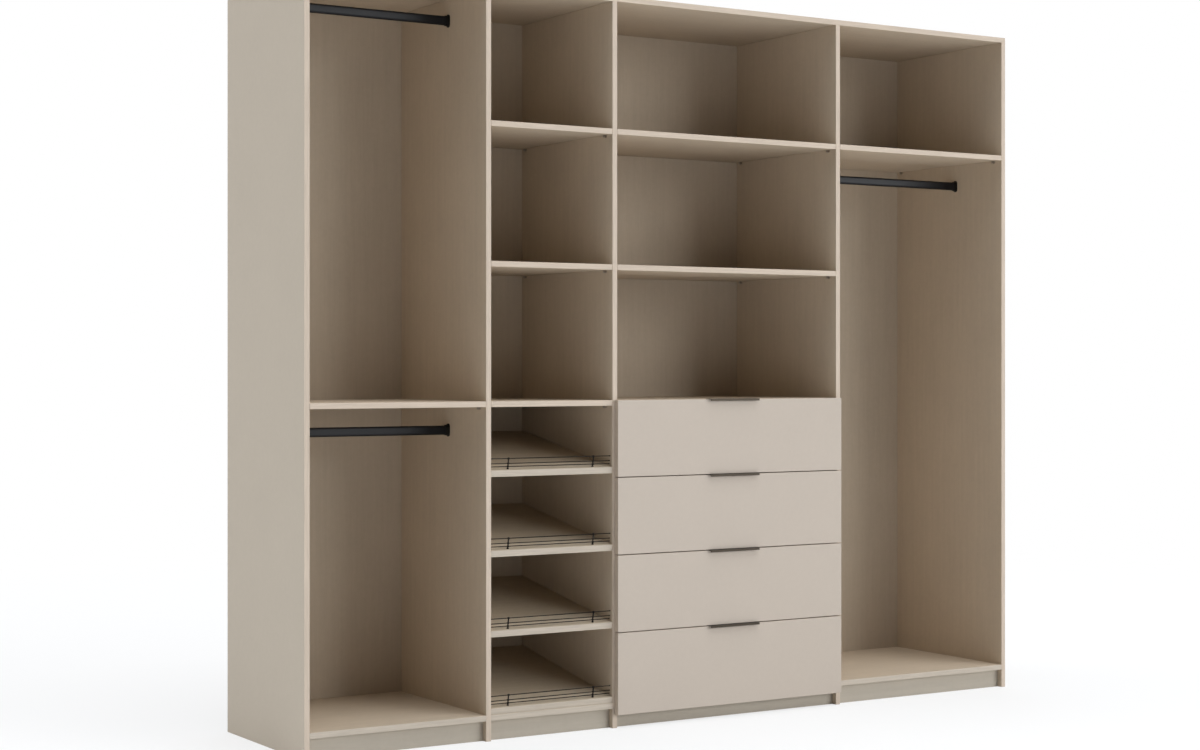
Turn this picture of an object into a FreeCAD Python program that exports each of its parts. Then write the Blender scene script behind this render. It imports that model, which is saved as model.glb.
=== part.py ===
# Open closet system of four bays, left to right: double hanging, shoes, drawers, coats.
# Millimetres, +Z up, +X to the right, the open front towards -Y.
# The origin is on the floor, under the middle of the whole object.
import FreeCAD
import Part
import Sketcher
import math
import os

X_AXIS = FreeCAD.Vector(1, 0, 0)
Y_AXIS = FreeCAD.Vector(0, 1, 0)
Z_AXIS = FreeCAD.Vector(0, 0, 1)

BAYS = ("hang", "shoe", "drawer", "coat")
UPRIGHTS = ("side_panel_left", "partition_left", "partition_middle", "partition_right", "side_panel_right")
SHELVES = (
    ("hang", "lower"),
    ("shoe", "upper"),
    ("shoe", "middle"),
    ("shoe", "lower"),
    ("drawer", "upper"),
    ("drawer", "middle"),
    ("drawer", "lower"),
    ("coat", "upper"),
)
RACKS = ("1", "2", "3", "4")
DRAWERS = ("1", "2", "3", "4")

# Driving dimensions, each set once.
SIZES = {
    # Boards of the carcass, and the clear space in each bay.
    "board": 18.0,
    "panel_depth": 600.0,
    "hang_bay": 600.0,
    "shoe_bay": 450.0,
    "drawer_bay": 900.0,
    "coat_bay": 750.0,
    "cubby_height": 423.0,
    "top_cubby_height": 414.0,
    "plinth_height": 64.0,
    "plinth_setback": 20.0,
    # Thin back panels, let into grooves in the uprights.
    "back_thickness": 8.0,
    "back_setback": 2.0,
    "back_groove": 6.0,
    "groove_end_gap": 0.5,
    # Level shelves and the pins under them.
    "shelf_side_gap": 0.5,
    "shelf_back_gap": 2.0,
    "pin_radius": 2.5,
    "pin_reach": 9.0,
    "pin_width": 10.0,
    "pin_height": 8.0,
    "pin_front_inset": 40.0,
    "pin_rear_inset": 28.0,
    # Holes for pins, dowels and screws. The web is what stays between holes from both faces.
    "blind_web": 2.0,
    "hole_clear": 0.15,
    "hole_end_gap": 0.5,
    # Dowels in the bottom boards and screws down through the top panel.
    "joint_inset": 60.0,
    "dowel_radius": 4.0,
    "dowel_reach": 20.0,
    "screw_head_radius": 5.0,
    "screw_head_height": 3.0,
    "screw_radius": 3.0,
    "screw_grip": 32.0,
    # Slanted shoe racks, low at the front.
    "rack_board": 20.5,
    "rack_tilt": 10.0,
    "rack_headroom": 199.5,
    "rack_pitch": 251.8,
    "rack_side_gap": 0.5,
    "rack_back_gap": 2.0,
    "rack_dowel_inset": 60.0,
    # Wire fence along the front of each rack.
    "wire_radius": 1.5,
    "wire_low": 8.5,
    "wire_middle": 18.5,
    "wire_top": 34.5,
    "wire_inset": 4.0,
    "fence_setback": 15.0,
    "post_radius": 2.2,
    "post_inset": 67.0,
    "post_cap": 2.5,
    "foot_radius": 3.8,
    "foot_height": 3.0,
    # Oval hanging rails and the sockets that hold their ends.
    "rail_height": 30.0,
    "rail_width": 15.0,
    "rail_wall": 1.2,
    "rail_from_front": 251.0,
    "rail_below_top": 71.0,
    "rail_below_shelf": 78.0,
    "rail_fit": 0.2,
    "socket_base": 4.0,
    "socket_depth": 14.0,
    "socket_wall": 1.8,
    "socket_height": 42.0,
    "socket_width": 20.0,
    "socket_screw_radius": 1.8,
    "socket_screw_head": 3.6,
    "socket_screw_spread": 8.0,
    # Overlay drawer fronts and the edge pulls on them.
    "front_thickness": 18.0,
    "front_overlap": 9.0,
    "front_standoff": 1.0,
    "front_height": 249.0,
    "bottom_front_height": 266.0,
    "front_drop": 20.0,
    "handle_length": 200.0,
    "handle_sheet": 2.0,
    "handle_clear": 1.0,
    "handle_reach": 12.0,
    "handle_lip": 5.5,
    # Drawer boxes.
    "drawer_board": 15.0,
    "drawer_back_room": 90.0,
    "box_lift": 38.0,
    "box_drop": 51.0,
    "box_floor_gap": 17.0,
    "drawer_bottom": 6.0,
    "bottom_lift": 10.0,
    "bottom_groove": 6.0,
    # Drawer runners, one channel inside another.
    "runner_thickness": 12.7,
    "runner_height": 45.0,
    "runner_sheet": 1.5,
    "runner_gap": 0.3,
    "runner_setback": 3.0,
    "runner_screw_radius": 1.8,
    "runner_screw_head": 3.5,
    "runner_screw_rise": 1.8,
    "runner_screw_inset": 60.0,
}

# Places worked out from the driving dimensions.
PLACES = {
    "total_width": "sizes.hang_bay + sizes.shoe_bay + sizes.drawer_bay + sizes.coat_bay + 5 * sizes.board",
    "front_reach": "sizes.front_standoff + sizes.front_thickness + sizes.handle_reach",
    "front_y": "(front_reach - sizes.panel_depth) / 2",
    "inner_depth": "sizes.panel_depth - sizes.back_setback - sizes.back_thickness",
    "back_y": "front_y + inner_depth",
    "upright_1_x": "-total_width / 2",
    "hang_left": "upright_1_x + sizes.board",
    "hang_right": "hang_left + sizes.hang_bay",
    "shoe_left": "hang_right + sizes.board",
    "shoe_right": "shoe_left + sizes.shoe_bay",
    "drawer_left": "shoe_right + sizes.board",
    "drawer_right": "drawer_left + sizes.drawer_bay",
    "coat_left": "drawer_right + sizes.board",
    "coat_right": "coat_left + sizes.coat_bay",
    "upright_2_x": "hang_right",
    "upright_3_x": "shoe_right",
    "upright_4_x": "drawer_right",
    "upright_5_x": "coat_right",
    "floor_top": "sizes.plinth_height + sizes.board",
    "front_gap": "sizes.handle_sheet + sizes.handle_clear",
    "fronts_foot": "sizes.plinth_height - sizes.front_drop",
    "lower_top": "fronts_foot + sizes.bottom_front_height + 3 * (sizes.front_height + front_gap)",
    "lower_shelf": "lower_top - sizes.board",
    "middle_shelf": "lower_top + sizes.cubby_height",
    "upper_shelf": "middle_shelf + sizes.board + sizes.cubby_height",
    "upright_height": "upper_shelf + sizes.board + sizes.top_cubby_height",
    "blind_depth": "(sizes.board - sizes.blind_web) / 2",
    "pin_depth": "blind_depth - sizes.hole_end_gap",
    "pin_front_y": "front_y + sizes.pin_front_inset",
    "pin_rear_y": "back_y - sizes.pin_rear_inset",
    "joint_front_y": "front_y + sizes.joint_inset",
    "joint_rear_y": "back_y - sizes.joint_inset",
    "joint_middle_y": "(joint_front_y + joint_rear_y) / 2",
    "rack_width": "sizes.shoe_bay - 2 * sizes.rack_side_gap",
    "rack_run": "inner_depth - sizes.rack_back_gap - sizes.rack_board * sin(sizes.rack_tilt)",
    "rack_length": "rack_run / cos(sizes.rack_tilt)",
    "rack_y": "front_y + sizes.rack_board * sin(sizes.rack_tilt)",
    "rack_1_z": "lower_shelf - sizes.rack_headroom - sizes.rack_board * cos(sizes.rack_tilt)",
    "rack_2_z": "rack_1_z - sizes.rack_pitch",
    "rack_3_z": "rack_2_z - sizes.rack_pitch",
    "rack_4_z": "floor_top",
    "rail_y": "front_y + sizes.rail_from_front",
    "rail_upper_z": "upright_height - sizes.rail_below_top",
    "rail_lower_z": "lower_shelf - sizes.rail_below_shelf",
    "rail_coat_z": "upper_shelf - sizes.rail_below_shelf",
    "front_width": "sizes.drawer_bay + 2 * sizes.front_overlap",
    "front_back_y": "front_y - sizes.front_standoff",
    "front_face_y": "front_back_y - sizes.front_thickness",
    "drawer_1_foot": "lower_top - sizes.front_height",
    "drawer_2_foot": "drawer_1_foot - front_gap - sizes.front_height",
    "drawer_3_foot": "drawer_2_foot - front_gap - sizes.front_height",
    "drawer_4_foot": "fronts_foot",
    "drawer_1_top": "lower_top",
    "drawer_2_top": "drawer_1_foot - front_gap",
    "drawer_3_top": "drawer_2_foot - front_gap",
    "drawer_4_top": "drawer_3_foot - front_gap",
    "box_1_foot": "drawer_1_foot + sizes.box_lift",
    "box_2_foot": "drawer_2_foot + sizes.box_lift",
    "box_3_foot": "drawer_3_foot + sizes.box_lift",
    "box_4_foot": "floor_top + sizes.box_floor_gap",
    "box_left": "drawer_left + sizes.runner_thickness",
    "box_width": "sizes.drawer_bay - 2 * sizes.runner_thickness",
    "box_inner_left": "box_left + sizes.drawer_board",
    "box_inner_width": "box_width - 2 * sizes.drawer_board",
    "box_depth": "back_y - sizes.drawer_back_room - front_back_y",
    "box_rear_y": "front_back_y + box_depth - sizes.drawer_board",
    "bottom_reach": "sizes.bottom_groove - sizes.groove_end_gap",
    "runner_y": "front_y + sizes.runner_setback",
    "runner_length": "back_y - sizes.drawer_back_room - runner_y",
    "runner_screw_front_y": "runner_y + sizes.runner_screw_inset",
    "runner_screw_rear_y": "runner_y + runner_length - sizes.runner_screw_inset",
    "runner_1_z": "(box_1_foot + drawer_1_top - sizes.box_drop) / 2",
    "runner_2_z": "(box_2_foot + drawer_2_top - sizes.box_drop) / 2",
    "runner_3_z": "(box_3_foot + drawer_3_top - sizes.box_drop) / 2",
    "runner_4_z": "(box_4_foot + drawer_4_top - sizes.box_drop) / 2",
    "channel_depth": "sizes.runner_thickness - sizes.runner_sheet - sizes.runner_gap",
    "slide_height": "sizes.runner_height - 2 * (sizes.runner_sheet + sizes.runner_gap)",
}

doc = FreeCAD.newDocument("closet_system")
nodes = []


def write_sheet(name, cells):
    """A sheet with one named cell on each row."""
    sheet = doc.addObject("Spreadsheet::Sheet", name)
    for row, (alias, content) in enumerate(cells.items(), start=1):
        sheet.set(f"A{row}", alias)
        sheet.set(f"B{row}", content)
        sheet.setAlias(f"B{row}", alias)
    doc.recompute()
    return sheet


write_sheet("sizes", {alias: str(value) for alias, value in SIZES.items()})
write_sheet("places", {alias: "=" + formula for alias, formula in PLACES.items()})


def place(obj, corner):
    """Tie the place of an object to three formulas."""
    for axis, formula in zip("xyz", corner):
        obj.setExpression(f"Placement.Base.{axis}", formula)


def block(name, size, corner):
    """A square-edged block, from its lowest corner."""
    obj = doc.addObject("Part::Box", name)
    for side, formula in zip(("Length", "Width", "Height"), size):
        obj.setExpression(side, formula)
    place(obj, corner)
    return obj


def rod(name, axis, radius, length, start):
    """A round rod that runs along +X or +Z from its start."""
    obj = doc.addObject("Part::Cylinder", name)
    obj.setExpression("Radius", radius)
    obj.setExpression("Height", length)
    if axis == "x":
        obj.Placement = FreeCAD.Placement(FreeCAD.Vector(), FreeCAD.Rotation(Y_AXIS, 90))
    place(obj, start)
    return obj


def end_rods(name, left, right, radius, outside, inside, y, z):
    """Two rods along X, one through each end of a board between two uprights."""
    length = f"{outside} + {inside}"
    return [
        rod(f"{name}_left", "x", radius, length, (f"{left} - ({outside})", y, z)),
        rod(f"{name}_right", "x", radius, length, (f"{right} - ({inside})", y, z)),
    ]


def group(name, pieces):
    """Separate solids under one name."""
    obj = doc.addObject("Part::Compound", name)
    obj.Links = pieces
    return obj


def fuse(name, pieces):
    """Pieces welded or moulded into one solid."""
    obj = doc.addObject("Part::MultiFuse", name)
    obj.Shapes = pieces
    return obj


def cut(name, base, tool):
    """A piece with grooves or holes cut into it."""
    obj = doc.addObject("Part::Cut", name)
    obj.Base = base
    obj.Tool = tool
    return obj


def keep(obj):
    """Mark a finished sub-part."""
    nodes.append(obj)
    return obj


# Dowels at both ends of the bottom boards, and their holes.
dowels = []
dowel_holes = []
for bay in BAYS:
    for spot in ("front", "rear"):
        ends = (f"places.{bay}_left", f"places.{bay}_right")
        level = ("places.joint_" + spot + "_y", "sizes.plinth_height + sizes.board / 2")
        dowels += end_rods(
            f"{bay}_dowel_{spot}", *ends, "sizes.dowel_radius",
            "places.pin_depth", "sizes.dowel_reach", *level
        )
        dowel_holes += end_rods(
            f"{bay}_dowel_hole_{spot}", *ends, "sizes.dowel_radius + sizes.hole_clear",
            "places.blind_depth", "sizes.dowel_reach + sizes.hole_end_gap", *level
        )
bottom_holes = group("bottom_holes", dowel_holes)

# Shelf pins: a round peg in the upright and a square head under the shelf.
pins = []
pin_holes = []
for bay, level in SHELVES:
    underside = f"places.{level}_shelf"
    left = f"places.{bay}_left"
    right = f"places.{bay}_right"
    for spot in ("front", "rear"):
        name = f"{bay}_{level}_pin_{spot}"
        y = f"places.pin_{spot}_y"
        peg_z = f"{underside} - sizes.pin_height / 2"
        pegs = end_rods(
            name, left, right, "sizes.pin_radius", "places.pin_depth", "sizes.pin_reach", y, peg_z
        )
        pin_holes += end_rods(
            f"{name}_hole", left, right, "sizes.pin_radius + sizes.hole_clear",
            "places.blind_depth", "sizes.pin_reach", y, peg_z
        )
        for side, peg, head_x in zip(("left", "right"), pegs, (left, f"{right} - sizes.pin_reach")):
            head = block(
                f"{name}_head_{side}",
                ("sizes.pin_reach", "sizes.pin_width", "sizes.pin_height"),
                (head_x, f"{y} - sizes.pin_width / 2", f"{underside} - sizes.pin_height"),
            )
            pins.append(fuse(f"{name}_{side}", [peg, head]))
shelf_pin_holes = group("shelf_pin_holes", pin_holes)


def on_rack(obj, number):
    """Move a piece made flat at the origin onto the slope of one shoe rack."""
    obj.Placement = FreeCAD.Placement(FreeCAD.Vector(), FreeCAD.Rotation(X_AXIS, SIZES["rack_tilt"]))
    obj.setExpression("Placement.Rotation.Angle", "sizes.rack_tilt")
    place(obj, ("places.shoe_left + sizes.rack_side_gap", "places.rack_y", f"places.rack_{number}_z"))
    return obj


# Slanted shoe racks, held at their ends by dowels. Each is made flat and then tilted.
rack_holes = []
racks = []
for number in RACKS:
    rack_dowels = []
    holes = []
    for spot, y in (
        ("front", "sizes.rack_dowel_inset"),
        ("rear", "places.rack_length - sizes.rack_dowel_inset"),
    ):
        ends = ("-sizes.rack_side_gap", "places.rack_width + sizes.rack_side_gap")
        rack_dowels += end_rods(
            f"rack_{number}_dowel_{spot}", *ends, "sizes.dowel_radius",
            "places.pin_depth", "sizes.dowel_reach", y, "sizes.rack_board / 2"
        )
        holes += end_rods(
            f"rack_{number}_hole_{spot}", *ends, "sizes.dowel_radius + sizes.hole_clear",
            "places.blind_depth", "sizes.dowel_reach + sizes.hole_end_gap", y, "sizes.rack_board / 2"
        )
    dowels.append(on_rack(group(f"rack_{number}_dowels", rack_dowels), number))
    rack_holes.append(on_rack(group(f"rack_{number}_holes", holes), number))
    flat = block(
        f"rack_{number}_blank",
        ("places.rack_width", "places.rack_length", "sizes.rack_board"),
        ("0", "0", "0"),
    )
    flat_holes = group(f"rack_{number}_flat_holes", holes)
    racks.append(on_rack(cut(f"shoe_rack_{number}", flat, flat_holes), number))

# Wire fences: three wires welded to two posts, whose feet stand on the rack.
fences = []
for number in RACKS:
    pieces = []
    for wire in ("low", "middle", "top"):
        start = ("sizes.wire_inset", "sizes.fence_setback", f"sizes.rack_board + sizes.wire_{wire}")
        length = "places.rack_width - 2 * sizes.wire_inset"
        pieces.append(rod(f"fence_{number}_wire_{wire}", "x", "sizes.wire_radius", length, start))
    for side, x in (("left", "sizes.post_inset"), ("right", "places.rack_width - sizes.post_inset")):
        start = (x, "sizes.fence_setback", "sizes.rack_board")
        height = "sizes.wire_top + sizes.post_cap"
        foot = ("sizes.foot_radius", "sizes.foot_height")
        pieces.append(rod(f"fence_{number}_post_{side}", "z", "sizes.post_radius", height, start))
        pieces.append(rod(f"fence_{number}_foot_{side}", "z", *foot, start))
    fences.append(on_rack(fuse(f"shoe_fence_{number}", pieces), number))

# Screws down through the top panel into each upright, and their holes.
screws = []
top_holes = []
for number in range(1, len(UPRIGHTS) + 1):
    x = f"places.upright_{number}_x + sizes.board / 2"
    for spot in ("front", "middle", "rear"):
        name = f"top_screw_{number}_{spot}"
        y = f"places.joint_{spot}_y"
        shank_z = "places.upright_height - sizes.screw_grip"
        head_z = "places.upright_height + sizes.board - sizes.screw_head_height"
        shank_length = "sizes.screw_grip + sizes.board"
        shank = rod(f"{name}_shank", "z", "sizes.screw_radius", shank_length, (x, y, shank_z))
        head = rod(f"{name}_head", "z", "sizes.screw_head_radius", "sizes.screw_head_height", (x, y, head_z))
        screws.append(fuse(name, [shank, head]))
        shank_hole = rod(
            f"{name}_shank_hole", "z", "sizes.screw_radius + sizes.hole_clear",
            f"{shank_length} + sizes.hole_end_gap", (x, y, f"{shank_z} - sizes.hole_end_gap")
        )
        head_hole = rod(
            f"{name}_head_hole", "z", "sizes.screw_head_radius + sizes.hole_clear",
            "sizes.screw_head_height", (x, y, head_z)
        )
        top_holes.append(fuse(f"{name}_hole", [shank_hole, head_hole]))
top_screw_holes = group("top_screw_holes", top_holes)


def add_oval(sketch, name, height, width):
    """An upright oval around the sketch's origin: two straight sides and two half circles."""
    radius = 5.0
    straight = 5.0
    first = sketch.GeometryCount
    top = FreeCAD.Vector(0, straight, 0)
    bottom = FreeCAD.Vector(0, -straight, 0)
    sketch.addGeometry(Part.LineSegment(bottom + X_AXIS * radius, top + X_AXIS * radius))
    sketch.addGeometry(Part.ArcOfCircle(Part.Circle(top, Z_AXIS, radius), 0, math.pi))
    sketch.addGeometry(Part.LineSegment(top - X_AXIS * radius, bottom - X_AXIS * radius))
    sketch.addGeometry(Part.ArcOfCircle(Part.Circle(bottom, Z_AXIS, radius), math.pi, 2 * math.pi))
    for step in range(4):
        following = first + (step + 1) % 4
        sketch.addConstraint(Sketcher.Constraint("Tangent", first + step, 2, following, 1))
    sketch.addConstraint(Sketcher.Constraint("Symmetric", first + 1, 3, first + 3, 3, -1, 1))
    sketch.addConstraint(Sketcher.Constraint("PointOnObject", first + 1, 3, -2))
    sketch.addConstraint(Sketcher.Constraint("Equal", first + 1, first + 3))
    end_radius = sketch.addConstraint(Sketcher.Constraint("Radius", first + 1, radius))
    half_straight = sketch.addConstraint(Sketcher.Constraint("DistanceY", -1, 1, first + 1, 3, straight))
    sketch.renameConstraint(end_radius, f"{name}_radius")
    sketch.renameConstraint(half_straight, f"{name}_straight")
    sketch.setExpression(f"Constraints.{name}_radius", f"({width}) / 2")
    sketch.setExpression(f"Constraints.{name}_straight", f"(({height}) - ({width})) / 2")


def new_sketch(body, name, role):
    """A sketch on one of the body's own origin planes."""
    sketch = body.newObject("Sketcher::SketchObject", name)
    plane = [feature for feature in body.Origin.OriginFeatures if feature.Role == role][0]
    sketch.AttachmentSupport = (plane, "")
    sketch.MapMode = "FlatFace"
    return sketch


def pad(body, name, sketch, length):
    """A straight pad of a sketch."""
    feature = body.newObject("PartDesign::Pad", name)
    feature.Profile = sketch
    feature.setExpression("Length", length)
    return feature


# Hanging rails: oval tubes from socket to socket.
RAILS = (("upper", "hang"), ("lower", "hang"), ("coat", "coat"))
rails = []
for rail, bay in RAILS:
    body = doc.addObject("PartDesign::Body", f"hanging_rail_{rail}")
    section = new_sketch(body, f"rail_{rail}_section", "YZ_Plane")
    add_oval(section, "outer", "sizes.rail_height", "sizes.rail_width")
    bore = "- 2 * sizes.rail_wall"
    add_oval(section, "inner", f"sizes.rail_height {bore}", f"sizes.rail_width {bore}")
    pad(body, f"rail_{rail}_tube", section, f"sizes.{bay}_bay - 2 * sizes.socket_base")
    place(body, (f"places.{bay}_left + sizes.socket_base", "places.rail_y", f"places.rail_{rail}_z"))
    rails.append(body)

# Rail sockets: a base plate on the upright with a cup around the rail's end.
sockets = []
socket_screws = []
socket_screw_holes = []
for rail, bay in RAILS:
    z = f"places.rail_{rail}_z"
    for side, turn in (("left", 0), ("right", 180)):
        name = f"socket_{rail}_{side}"
        body = doc.addObject("PartDesign::Body", name)
        plate = new_sketch(body, f"{name}_plate", "YZ_Plane")
        add_oval(plate, "edge", "sizes.socket_height", "sizes.socket_width")
        pad(body, f"{name}_base", plate, "sizes.socket_base")
        cup = new_sketch(body, f"{name}_cup", "YZ_Plane")
        room = "+ 2 * sizes.rail_fit"
        wall = "+ 2 * sizes.socket_wall"
        add_oval(cup, "outer", f"sizes.rail_height {room} {wall}", f"sizes.rail_width {room} {wall}")
        add_oval(cup, "inner", f"sizes.rail_height {room}", f"sizes.rail_width {room}")
        pad(body, f"{name}_rim", cup, "sizes.socket_depth")
        body.Placement = FreeCAD.Placement(FreeCAD.Vector(), FreeCAD.Rotation(Z_AXIS, turn))
        place(body, (f"places.{bay}_{side}", "places.rail_y", z))
        sockets.append(body)
    for spot, sign in (("top", "+"), ("bottom", "-")):
        screw_z = f"{z} {sign} sizes.socket_screw_spread"
        ends = (f"places.{bay}_left", f"places.{bay}_right")
        plates = (f"{ends[0]} + sizes.socket_base / 2", f"{ends[1]} - sizes.socket_base / 2")
        name = f"socket_screw_{rail}_{spot}"
        shanks = end_rods(
            name + "_shank", *ends, "sizes.socket_screw_radius",
            "places.pin_depth", "sizes.socket_base", "places.rail_y", screw_z
        )
        heads = end_rods(
            name + "_head", *plates, "sizes.socket_screw_head",
            "0", "sizes.socket_base / 2", "places.rail_y", screw_z
        )
        shank_holes = end_rods(
            name + "_shank_hole", *ends, "sizes.socket_screw_radius + sizes.hole_clear",
            "places.blind_depth", "sizes.socket_base", "places.rail_y", screw_z
        )
        head_holes = end_rods(
            name + "_head_hole", *plates, "sizes.socket_screw_head + sizes.hole_clear",
            "0", "sizes.socket_base / 2", "places.rail_y", screw_z
        )
        for side, shank, head in zip(("left", "right"), shanks, heads):
            socket_screws.append(fuse(f"{name}_{side}", [shank, head]))
        for side, shank, head in zip(("left", "right"), shank_holes, head_holes):
            socket_screw_holes.append(fuse(f"{name}_hole_{side}", [shank, head]))
socket_holes = group("socket_holes", socket_screw_holes)

# Screws that hold the fixed runner channels to the partitions, and their holes.
runner_screws = []
screw_holes = []
for number in DRAWERS:
    for spot in ("front", "rear"):
        name = f"runner_screw_{number}_{spot}"
        level = (f"places.runner_screw_{spot}_y", f"places.runner_{number}_z")
        ends = ("places.drawer_left", "places.drawer_right")
        webs = (f"{ends[0]} + sizes.runner_sheet", f"{ends[1]} - sizes.runner_sheet")
        shanks = end_rods(
            name + "_shank", *ends, "sizes.runner_screw_radius",
            "places.pin_depth", "sizes.runner_sheet", *level
        )
        heads = end_rods(
            name + "_head", *webs, "sizes.runner_screw_head", "0", "sizes.runner_screw_rise", *level
        )
        screw_holes += end_rods(
            name + "_hole", *ends, "sizes.runner_screw_radius + sizes.hole_clear",
            "places.blind_depth", "sizes.runner_sheet", *level
        )
        for side, shank, head in zip(("left", "right"), shanks, heads):
            runner_screws.append(fuse(f"{name}_{side}", [shank, head]))
runner_holes = group("runner_holes", screw_holes)

# Uprights, grooved for the back panels and drilled for everything that is fixed to them.
grooves = []
for bay in BAYS:
    grooves.append(block(
        f"{bay}_back_groove",
        (f"sizes.{bay}_bay + 2 * sizes.back_groove", "sizes.back_thickness", "places.upright_height"),
        (f"places.{bay}_left - sizes.back_groove", "places.back_y", "0"),
    ))
back_grooves = group("back_grooves", grooves)
hole_groups = [bottom_holes, shelf_pin_holes, top_screw_holes, socket_holes, runner_holes]
upright_holes = group("upright_holes", hole_groups + rack_holes)
for number, name in enumerate(UPRIGHTS, start=1):
    blank = block(
        f"upright_{number}_blank",
        ("sizes.board", "sizes.panel_depth", "places.upright_height"),
        (f"places.upright_{number}_x", "places.front_y", "0"),
    )
    grooved = cut(f"upright_{number}_grooved", blank, back_grooves)
    keep(cut(name, grooved, upright_holes))

# Top panel over all the uprights.
top_blank = block(
    "top_blank",
    ("places.total_width", "sizes.panel_depth", "sizes.board"),
    ("places.upright_1_x", "places.front_y", "places.upright_height"),
)
keep(cut("top_panel", top_blank, top_screw_holes))

# Bottom board, plinth and back panel of each bay.
for bay in BAYS:
    left = f"places.{bay}_left"
    width = f"sizes.{bay}_bay"
    bottom_blank = block(
        f"{bay}_bottom_blank",
        (width, "places.inner_depth", "sizes.board"),
        (left, "places.front_y", "sizes.plinth_height"),
    )
    keep(cut(f"{bay}_bay_bottom", bottom_blank, bottom_holes))
    keep(block(
        f"{bay}_bay_plinth",
        (width, "sizes.board", "sizes.plinth_height"),
        (left, "places.front_y + sizes.plinth_setback", "0"),
    ))
    into_groove = "(sizes.back_groove - sizes.groove_end_gap)"
    back_height = "places.upright_height - sizes.plinth_height"
    keep(block(
        f"{bay}_bay_back",
        (f"{width} + 2 * {into_groove}", "sizes.back_thickness", back_height),
        (f"{left} - {into_groove}", "places.back_y", "sizes.plinth_height"),
    ))

# Level shelves, lying on their pins.
for bay, level in SHELVES:
    keep(block(
        f"{bay}_bay_{level}_shelf",
        (
            f"sizes.{bay}_bay - 2 * sizes.shelf_side_gap",
            "places.inner_depth - sizes.shelf_back_gap",
            "sizes.board",
        ),
        (f"places.{bay}_left + sizes.shelf_side_gap", "places.front_y", f"places.{level}_shelf"),
    ))

for obj in racks + fences + rails:
    keep(obj)
keep(cut("rail_sockets", group("socket_blanks", sockets), socket_holes))
keep(group("socket_screws", socket_screws))
keep(group("shelf_pins", pins))
keep(group("wood_dowels", dowels))
keep(group("top_screws", screws))


def channel(name, open_side, height, depth, x, z_middle):
    """A steel channel along Y, open towards +X or -X."""
    length = "places.runner_length"
    foot = f"{z_middle} - ({height}) / 2"
    bar = block(f"{name}_bar", (depth, length, height), (x, "places.runner_y", foot))
    hollow_x = f"{x} + sizes.runner_sheet" if open_side == "right" else x
    hollow = block(
        f"{name}_hollow",
        (f"{depth} - sizes.runner_sheet", length, f"{height} - 2 * sizes.runner_sheet"),
        (hollow_x, "places.runner_y", f"{foot} + sizes.runner_sheet"),
    )
    return cut(name, bar, hollow)


# Runner channels: the outer one on the partition, the inner one on the drawer's side.
fixed_channels = []
slide_channels = {}
for number in DRAWERS:
    middle = f"places.runner_{number}_z"
    fixed = ("sizes.runner_height", "places.channel_depth")
    slide = ("places.slide_height", "places.channel_depth")
    left_slide_x = "places.box_left - places.channel_depth"
    right_slide_x = "places.box_left + places.box_width"
    right_fixed_x = "places.drawer_right - places.channel_depth"
    fixed_channels.append(channel(f"fixed_{number}_left", "right", *fixed, "places.drawer_left", middle))
    fixed_channels.append(channel(f"fixed_{number}_right", "left", *fixed, right_fixed_x, middle))
    slide_channels[number] = [
        channel(f"slide_{number}_left", "left", *slide, left_slide_x, middle),
        channel(f"slide_{number}_right", "right", *slide, right_slide_x, middle),
    ]
keep(cut("cabinet_runners", group("fixed_channels", fixed_channels), runner_holes))
keep(group("runner_screws", runner_screws))


def drawer_box(number):
    """Two sides, an inner front, a back, and a bottom held in a groove all round."""
    foot = f"places.box_{number}_foot"
    height = f"places.drawer_{number}_top - sizes.box_drop - {foot}"
    bottom_z = f"{foot} + sizes.bottom_lift"
    inner_y = "places.front_back_y + sizes.drawer_board"
    inner_length = "places.box_depth - 2 * sizes.drawer_board"
    groove = block(
        f"box_{number}_groove",
        (
            "places.box_inner_width + 2 * sizes.bottom_groove",
            f"{inner_length} + 2 * sizes.bottom_groove",
            "sizes.drawer_bottom",
        ),
        ("places.box_inner_left - sizes.bottom_groove", f"{inner_y} - sizes.bottom_groove", bottom_z),
    )
    side_size = ("sizes.drawer_board", "places.box_depth", height)
    end_size = ("places.box_inner_width", "sizes.drawer_board", height)
    right_x = "places.box_inner_left + places.box_inner_width"
    boards = (
        ("left_side", side_size, ("places.box_left", "places.front_back_y", foot)),
        ("right_side", side_size, (right_x, "places.front_back_y", foot)),
        ("inner_front", end_size, ("places.box_inner_left", "places.front_back_y", foot)),
        ("back", end_size, ("places.box_inner_left", "places.box_rear_y", foot)),
    )
    pieces = []
    for name, size, corner in boards:
        blank = block(f"box_{number}_{name}_blank", size, corner)
        pieces.append(cut(f"box_{number}_{name}", blank, groove))
    pieces.append(block(
        f"box_{number}_bottom",
        (
            "places.box_inner_width + 2 * places.bottom_reach",
            f"{inner_length} + 2 * places.bottom_reach",
            "sizes.drawer_bottom",
        ),
        ("places.box_inner_left - places.bottom_reach", f"{inner_y} - places.bottom_reach", bottom_z),
    ))
    return group(f"drawer_box_{number}", pieces)


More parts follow.
